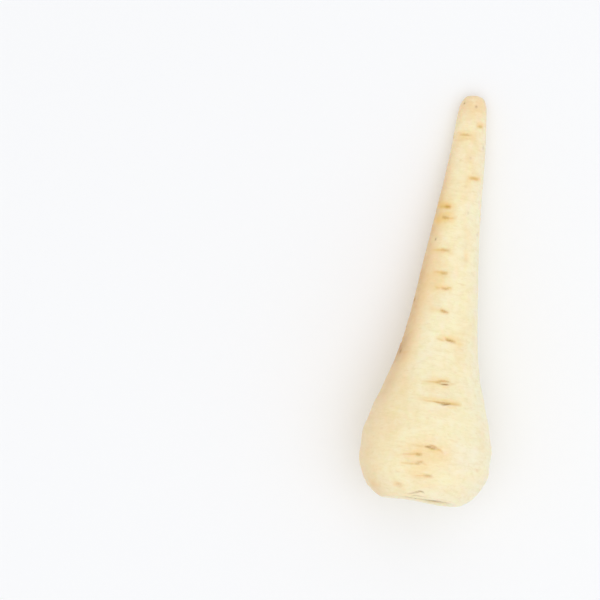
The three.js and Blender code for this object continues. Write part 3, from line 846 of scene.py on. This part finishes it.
# %% Skin masks and patterns
skin_material, tree, output = new_material("washed_parsnip_skin")
mask = {name: add(tree, "ShaderNodeAttribute", attribute_name=name).outputs["Fac"] for name in skin_fields}
on_object = add(tree, "ShaderNodeTexCoord").outputs["Object"]
along_root = add(tree, "ShaderNodeMapping", {"Vector": on_object, "Rotation": (LEAN, 0, 0)}).outputs[0]
noise = patterned(tree, {
    "clouds": (on_object, (38, 38, 38), 3.0, 0.5),  # 26 mm
    "bands": (along_root, (30, 240, 30), 2.0, 0.5),  # 4 mm along, 33 mm round
    "mottle": (on_object, (330, 330, 330), 3.0, 0.6),  # 3 mm
    "fine_lines": (along_root, (260, 900, 260), 3.0, 0.65),  # 1.1 mm along, 4 mm round
    "hair_lines": (along_root, (110, 560, 110), 1.0, 0.5),  # 1.8 mm along, 9 mm round
    "flecks": (along_root, (240, 560, 240), 2.0, 0.5),  # 1.8 mm along, 4 mm round
    "grain": (on_object, (1500, 1500, 1500), 2.0, 0.5),  # 0.7 mm
})
from_level = add(tree, "ShaderNodeMath", {0: noise["hair_lines"], 1: 0.5}, operation="SUBTRACT").outputs[0]
hair = add(tree, "ShaderNodeMath", {0: from_level}, operation="ABSOLUTE").outputs[0]
grainy = add(tree, "ShaderNodeMapRange", {
    "Value": noise["grain"], "From Min": 0.35, "From Max": 0.65, "To Min": 0.65, "To Max": 1.0}).outputs[0]
grainy_core = add(tree, "ShaderNodeMath", {0: mask["core"], 1: grainy}, operation="MULTIPLY").outputs[0]
print(len(mask), "masks and", len(noise), "patterns")

# %% Skin colours, from the broadest to the smallest
SKIN_LAYERS = [
    (noise["clouds"], 0.40, 0.66, 0.26, "#f8e3ae"),
    (noise["bands"], 0.50, 0.66, 0.13, "#f4daa0"),
    # Pale patches, the pale cut rim, and the right flank painted paler as the lit side
    (mask["pale"], 0, 1, 0.55, "#fbf6e4"),
    (mask["tip_zone"], 0, 1, 0.55, "#efcfa6"),
    # Amber patches, on the left side partly painted shade
    (mask["patch"], 0, 1, 0.60, "#efc272"),
    (noise["mottle"], 0.50, 0.70, 0.28, "#fff7de"),
    (noise["fine_lines"], 0.53, 0.70, 0.24, "#fff7de"),
    # Painted shade on the left flank, browner in its middle
    (mask["flank"], 0, 1, 0.85, "#f0c88e"),
    (mask["flank_shade_middle"], 0, 2.5, 1.00, "#c99f72"),
    (noise["mottle"], 0.48, 0.30, 0.23, "#e7d99d"),
    (noise["fine_lines"], 0.47, 0.32, 0.20, "#e1d09a"),
    (hair, 0.020, 0.0, 0.12, "#dcb878"),
    (mask["wrinkle"], 0.1, -0.7, 0.08, "#e6c68f"),
    (noise["flecks"], 0.64, 0.78, 0.22, "#e0b87a"),
    (mask["rim_stain"], 0, 1, 0.25, "#e6b47a"),
    (mask["stain"], 0, 1, 0.60, "#f2c96c"),
    (mask["tail"], 0, 1, 0.75, "#dcae46"),
    (grainy_core, 0, 1, 0.90, "#c08c1c"),
    (mask["dark"], 0, 1, 1.00, "#9c6804"),
    (mask["crease"], 0, 1, 0.85, "#a17a3c"),
    # Painted shade on the lower wall of the hollow
    (mask["wall_shade"], 0, 1, 0.60, "#a06a24"),
    # The rim's split, with painted shade of the gap under the rim
    (mask["rim_split_and_shade"], 0, 1, 1.00, "#7a4812"),
    (mask["speck"], 0, 1, 0.80, "#8a5614"),
    (mask["tail_end"], 0, 1, 0.45, "#c9a578"),
    # Painted shade deep in the hollow
    (mask["hollow"], 0, 1, 0.85, "#5a4238"),
]
skin_colour = painted(tree, SKIN_LAYERS, SKIN_BASE)
print(len(SKIN_LAYERS), "layers of colour on the skin")

# %% Skin surface
texture = add(tree, "ShaderNodeMix", {
    FACTOR: 0.25, FLOAT_A: noise["fine_lines"], FLOAT_B: noise["grain"]}, data_type="FLOAT")
ripple = add(tree, "ShaderNodeBump", {"Strength": 0.45, "Distance": 0.0002, "Height": texture.outputs[0]})
shine = add(tree, "ShaderNodeMapRange", {
    "Value": noise["clouds"], "From Min": 0.3, "From Max": 0.7, "To Min": 0.44, "To Max": 0.58})
surface = add(tree, "ShaderNodeBsdfPrincipled", {
    "Base Color": skin_colour, "Roughness": shine.outputs[0], "Normal": ripple.outputs[0],
    "IOR": 1.40, "Subsurface Weight": 0.45, "Subsurface Radius": (1.0, 0.45, 0.20), "Subsurface Scale": 0.003,
})
tree.links.new(surface.outputs[0], output.inputs["Surface"])
skin.data.materials.append(skin_material)
print("skin material has", len(tree.nodes), "nodes")

# %% [markdown]
# ### Dried leaf bases
#
# The pad in the crown is dead, corky tissue: matt, fibrous and mauve-brown, paler on the lips and fibres
# where it was rubbed, and nearly black in the gaps. The small bud stays amber. It could share the skin's
# material, but it is rougher and lets little light in, so it has one of its own, without subsurface
# scattering.

# %% Leaf scar material
pad_material, tree, output = new_material("dried_leaf_bases")
mask = {name: add(tree, "ShaderNodeAttribute", attribute_name=name).outputs["Fac"] for name in pad_fields}
on_object = add(tree, "ShaderNodeTexCoord").outputs["Object"]
noise = patterned(tree, {
    "mottle": (on_object, (300, 300, 300), 4.0, 0.7),  # 3 mm
    "shades": (on_object, (110, 110, 110), 2.0, 0.5),  # 9 mm
    "speckle": (on_object, (1400, 1400, 1400), 2.0, 0.5),  # 0.7 mm
})
pad_colour = painted(tree, [
    (noise["shades"], 0.45, 0.62, 0.70, "#7b7069"),
    (noise["mottle"], 0.48, 0.62, 0.60, "#a88b83"),
    (mask["lump"], 0.0, -0.6, 0.75, "#53413d"),
    (mask["fibre"], 0.15, 0.7, 0.55, "#b8a096"),
    (mask["lip"], 0.2, 0.9, 0.45, "#c0a69b"),
    (mask["strand"], 0, 1, 0.50, "#b9b0a4"),
    (noise["speckle"], 0.5, 0.7, 0.30, "#5f4b45"),
    (mask["bud"], 0, 1, 0.85, "#cf9358"),
    (mask["edge"], 0, 1, 0.80, "#42322c"),
], PAD_BASE)
roughen = add(tree, "ShaderNodeBump", {"Strength": 0.7, "Distance": 0.0004, "Height": noise["mottle"]})
surface = add(tree, "ShaderNodeBsdfPrincipled", {
    "Base Color": pad_colour, "Roughness": 0.85, "Normal": roughen.outputs[0], "IOR": 1.40})
tree.links.new(surface.outputs[0], output.inputs["Surface"])
leaf_scar.data.materials.append(pad_material)
print("leaf scar material has", len(tree.nodes), "nodes")

# %% [markdown]
# ## Table, light and camera
#
# The root lies on a plain pale table under soft studio light: a pale sky all round, and one big square light
# above it, a little to the right, which shades the left side. A ring of lamps could do the same, but two
# sources are easier to balance. The camera looks straight down from 1.25 m through a long lens, turned so
# that the tip leans to the right.

# %% Table
table = bpy.data.objects.new("table", bpy.data.meshes.new("table"))
HALF_TABLE = 4.0
corners = [(x * HALF_TABLE, y * HALF_TABLE, 0) for x, y in ((-1, -1), (1, -1), (1, 1), (-1, 1))]
table.data.from_pydata(corners, [], [(0, 1, 2, 3)])
bpy.context.scene.collection.objects.link(table)
table_material, tree, output = new_material("matt_white_table")
surface = add(tree, "ShaderNodeBsdfPrincipled", {"Base Color": TABLE_BASE, "Roughness": 0.9, "IOR": 1.45})
tree.links.new(surface.outputs[0], output.inputs["Surface"])
table.data.materials.append(table_material)
print("the table is", 2 * HALF_TABLE, "m wide")


# %% Lights
# Place, width in metres and power in watts of the lamp above, and strength of the pale sky
KEY_PLACE, KEY_WIDTH, KEY_POWER, SKY_STRENGTH = (0.13, -0.12, 1.34), 1.6, 5.8, 0.79


def square_light(name, place, size, power):
    """A square area light that faces the root."""
    data = bpy.data.lights.new(name, "AREA")
    data.size = size
    data.energy = power
    light = bpy.data.objects.new(name, data)
    light.location = place
    light.rotation_mode = "QUATERNION"
    light.rotation_quaternion = light.location.to_track_quat("Z", "Y")
    bpy.context.scene.collection.objects.link(light)
    return light


key_light = square_light("key_light", KEY_PLACE, KEY_WIDTH, KEY_POWER)
world = bpy.data.worlds.new("studio")
world.use_nodes = True
world.node_tree.nodes["Background"].inputs["Color"].default_value = linear("#ffffff")
world.node_tree.nodes["Background"].inputs["Strength"].default_value = SKY_STRENGTH
bpy.context.scene.world = world
bpy.context.scene.view_settings.view_transform = "Standard"
print(key_light.name, "hangs at", rounded(key_light.location))

# %% Camera
# The frame is 600 pixels wide, and a pixel is 0.44 mm at 18 mm above the table
FRAME_PIXELS, MM_PER_PIXEL, MEASURED_HEIGHT = 600, 0.44, 0.018
EYE_HEIGHT, VIEW_LEAN, SENSOR_WIDTH = 1.25, math.radians(7.6), 36
# The root's middle lies this many pixels to the right of the frame's middle, and above it
ROOT_RIGHT, ROOT_ABOVE = 145, 2.0
camera_data = bpy.data.cameras.new("camera")
camera_data.sensor_width = SENSOR_WIDTH
frame_width = FRAME_PIXELS * MM_PER_PIXEL / MM_PER_METRE
camera_data.lens = SENSOR_WIDTH * (EYE_HEIGHT - MEASURED_HEIGHT) / frame_width
camera = bpy.data.objects.new("camera", camera_data)
right = np.array([math.cos(VIEW_LEAN), math.sin(VIEW_LEAN)])
up = np.array([-math.sin(VIEW_LEAN), math.cos(VIEW_LEAN)])
middle = -(ROOT_RIGHT * right + ROOT_ABOVE * up) * MM_PER_PIXEL / MM_PER_METRE
camera.location = (middle[0], middle[1], EYE_HEIGHT)
camera.rotation_euler = (0, 0, VIEW_LEAN)
bpy.context.scene.collection.objects.link(camera)
bpy.context.scene.camera = camera
print("lens", round(camera_data.lens, 1), "mm")
